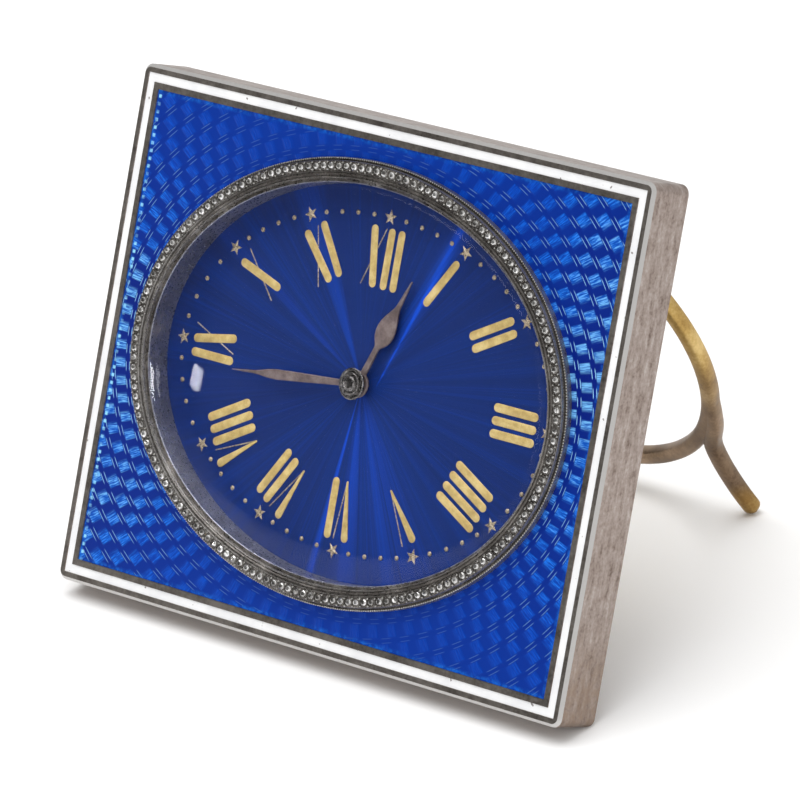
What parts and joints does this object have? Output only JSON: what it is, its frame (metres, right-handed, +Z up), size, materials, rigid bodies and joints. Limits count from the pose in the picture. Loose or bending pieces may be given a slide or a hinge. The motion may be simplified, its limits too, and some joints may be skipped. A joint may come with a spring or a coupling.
{
  "type": "desk clock",
  "caption": "Pendulette desk clock: a landscape enamelled case with an oval stone-set bezel and Roman dial, leaning back on a hinged wire ring strut, with a key-wound movement inside",
  "frame": {"origin": "on the floor, at the middle of the narrow flat on the bottom rear edge that the case stands on", "axes": "X to the right of someone facing the dial, Y to the back, Z up"},
  "size_m": [0.08, 0.0595, 0.06],
  "materials": {
    "silver": "tarnished silver",
    "bezel_silver": "darkened silver",
    "white_enamel": "opaque white enamel",
    "blue_enamel": "translucent blue enamel over engine turning",
    "dial_enamel": "translucent blue enamel over a sunburst",
    "stone": "clear cut stones",
    "glass": "clear domed glass",
    "bronze": "worn bronze",
    "hand_steel": "grained steel",
    "bright_steel": "polished",
    "brass": "gilt brass",
    "steel": "polished steel"
  },
  "bodies": {
    "case": {"case_frame": "silver", "enamel_line": "white_enamel", "enamel_panel": "blue_enamel", "bezel": "bezel_silver", "bezel_stones": "stone", "crystal": "glass", "dial": "dial_enamel", "mount_plate": "brass", "back_plate": "silver", "back_plate_screws": "silver", "movement_drum": "brass", "hinge_lugs": "silver", "hinge_pin": "silver", "main_plate": "brass", "barrel_bridge": "brass", "train_bridge": "brass", "balance_cock": "brass", "pallet_cock": "brass", "click_spring": "steel"},
    "strut": {"strut_ring": "bronze", "strut_feet": "bronze", "strut_knuckle": "bronze"},
    "minute": {"cannon_pinion": "steel", "minute_hand": "hand_steel", "hand_cap": "bright_steel"},
    "hour": {"hour_wheel": "brass", "hour_hand": "hand_steel"},
    "minute_work": {"minute_wheel": "brass"},
    "setting": {"set_arbor": "steel", "set_knob": "brass"},
    "barrel": {"barrel": "brass", "mainspring": "steel"},
    "winding": {"barrel_arbor": "steel", "ratchet_wheel": "steel", "winding_key": "brass"},
    "click": {"click": "steel"},
    "intermediate": {"intermediate_wheel": "brass", "intermediate_arbor": "steel"},
    "centre": {"centre_wheel": "brass", "centre_arbor": "steel"},
    "third": {"third_wheel": "brass", "third_arbor": "steel"},
    "fourth": {"fourth_wheel": "brass", "fourth_arbor": "steel"},
    "escape": {"escape_wheel": "steel", "escape_arbor": "steel"},
    "pallets": {"pallet_fork": "steel", "pallet_arbor": "steel"},
    "balance": {"balance_wheel": "brass", "balance_staff": "steel", "hairspring": "steel"},
    "regulator": {"regulator": "steel"}
  },
  "joints": [
    {"name": "strut_hinge", "type": "hinge", "parent": "case", "child": "strut", "pos_m": [0, 0.02807, 0.05487], "axis": [1, 0, 0], "range_deg": [-49, 0]},
    {"name": "minute_turn", "type": "hinge", "parent": "case", "child": "minute", "pos_m": [0, 0.00882, 0.03118], "axis": [0, 0.9063, -0.4226], "continuous": true},
    {"name": "hour_turn", "type": "hinge", "parent": "case", "child": "hour", "pos_m": [0, 0.00972, 0.03076], "axis": [0, 0.9063, -0.4226], "continuous": true},
    {"name": "minute_wheel_turn", "type": "hinge", "parent": "case", "child": "minute_work", "pos_m": [0, 0.01351, 0.03297], "axis": [0, 0.9063, -0.4226], "continuous": true},
    {"name": "set_turn", "type": "hinge", "parent": "case", "child": "setting", "pos_m": [0, 0.02455, 0.03179], "axis": [0, 0.9063, -0.4226], "continuous": true},
    {"name": "escape_turn", "type": "hinge", "parent": "case", "child": "escape", "pos_m": [0.01017, 0.01401, 0.02812], "axis": [0, 0.9063, -0.4226], "continuous": true},
    {"name": "fourth_turn", "type": "hinge", "parent": "case", "child": "fourth", "pos_m": [0.00859, 0.01353, 0.02355], "axis": [0, 0.9063, -0.4226], "continuous": true},
    {"name": "third_turn", "type": "hinge", "parent": "case", "child": "third", "pos_m": [0.00337, 0.01206, 0.02322], "axis": [0, 0.9063, -0.4226], "continuous": true},
    {"name": "centre_turn", "type": "hinge", "parent": "case", "child": "centre", "pos_m": [0, 0.01697, 0.02738], "axis": [0, 0.9063, -0.4226], "continuous": true},
    {"name": "intermediate_turn", "type": "hinge", "parent": "case", "child": "intermediate", "pos_m": [-0.00559, 0.01202, 0.02504], "axis": [0, 0.9063, -0.4226], "continuous": true},
    {"name": "barrel_turn", "type": "hinge", "parent": "case", "child": "barrel", "pos_m": [-0.01113, 0.0168, 0.03174], "axis": [0, 0.9063, -0.4226], "continuous": true},
    {"name": "winding_turn", "type": "hinge", "parent": "case", "child": "winding", "pos_m": [-0.01113, 0.02224, 0.0292], "axis": [0, 0.9063, -0.4226], "continuous": true},
    {"name": "click_swing", "type": "hinge", "parent": "case", "child": "click", "pos_m": [-0.00828, 0.02278, 0.03439], "axis": [0, 0.9063, -0.4226], "range_deg": [-10, 0], "stiffness_Nm_per_rad": 0.000002, "springref_deg": 17.19},
    {"name": "pallet_rock", "type": "hinge", "parent": "case", "child": "pallets", "pos_m": [0.00894, 0.01535, 0.03123], "axis": [0, 0.9063, -0.4226], "range_deg": [-5, 5]},
    {"name": "balance_swing", "type": "hinge", "parent": "case", "child": "balance", "pos_m": [0.00809, 0.01866, 0.03501], "axis": [0, 0.9063, -0.4226], "range_deg": [-135, 135], "stiffness_Nm_per_rad": 0.0000014},
    {"name": "regulator_turn", "type": "hinge", "parent": "case", "child": "regulator", "pos_m": [0.00809, 0.02219, 0.03336], "axis": [0, 0.9063, -0.4226], "range_deg": [-25, 25]}
  ],
  "couplings": [
    {"joint": "minute_wheel_turn", "follows": "minute_turn", "ratio": -0.33333},
    {"joint": "hour_turn", "follows": "minute_turn", "ratio": 0.083333},
    {"joint": "set_turn", "follows": "minute_turn", "ratio": 1},
    {"joint": "fourth_turn", "follows": "escape_turn", "ratio": -0.1},
    {"joint": "third_turn", "follows": "escape_turn", "ratio": 0.013333},
    {"joint": "centre_turn", "follows": "escape_turn", "ratio": -0.0016667},
    {"joint": "intermediate_turn", "follows": "escape_turn", "ratio": 0.00027778},
    {"joint": "barrel_turn", "follows": "escape_turn", "ratio": -0.000046296}
  ]
}
